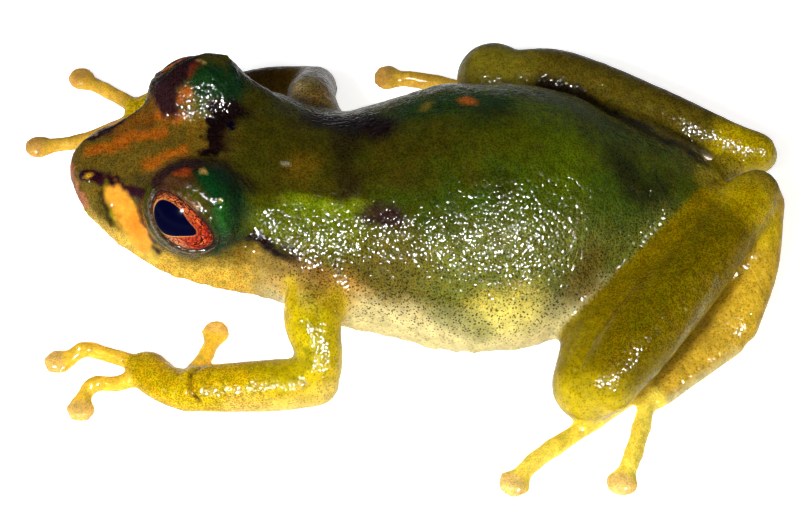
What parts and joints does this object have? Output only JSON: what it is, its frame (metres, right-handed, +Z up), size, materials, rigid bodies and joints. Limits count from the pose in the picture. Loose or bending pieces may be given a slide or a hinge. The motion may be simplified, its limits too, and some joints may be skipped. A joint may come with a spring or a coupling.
{
  "type": "rain frog model",
  "caption": "Life-size still model of a small rain frog sitting on the floor, head raised, hind legs folded, slim digits ending in broad pads.",
  "frame": {"origin": "on the floor, under the middle of the whole animal's box", "axes": "-Y is the way the head points, +X is the frog's own left side, +Z is up"},
  "size_m": [0.0308, 0.0414, 0.0106],
  "materials": {
    "body_skin": "wet granular olive-green skin",
    "limb_skin": "wet yellow-olive skin with fine black dots",
    "digit_skin": "wet yellow skin",
    "eye": "wet clear eye over a copper iris"
  },
  "bodies": {
    "root": {"head": "body_skin", "eye_left": "eye", "eye_right": "eye", "torso": "body_skin", "upper_arm_left": "limb_skin", "forearm_left": "limb_skin", "hand_left": "limb_skin", "thigh_left": "limb_skin", "shank_left": "limb_skin", "tarsus_left": "limb_skin", "foot_left": "limb_skin", "finger_left_1": "digit_skin", "finger_left_2": "digit_skin", "finger_left_3": "digit_skin", "finger_left_4": "digit_skin", "toe_left_1": "digit_skin", "toe_left_2": "digit_skin", "toe_left_3": "digit_skin", "toe_left_4": "digit_skin", "toe_left_5": "digit_skin", "upper_arm_right": "limb_skin", "forearm_right": "limb_skin", "hand_right": "limb_skin", "thigh_right": "limb_skin", "shank_right": "limb_skin", "tarsus_right": "limb_skin", "foot_right": "limb_skin", "finger_right_1": "digit_skin", "finger_right_2": "digit_skin", "finger_right_3": "digit_skin", "finger_right_4": "digit_skin", "toe_right_1": "digit_skin", "toe_right_2": "digit_skin", "toe_right_3": "digit_skin", "toe_right_4": "digit_skin", "toe_right_5": "digit_skin"}
  },
  "joints": []
}
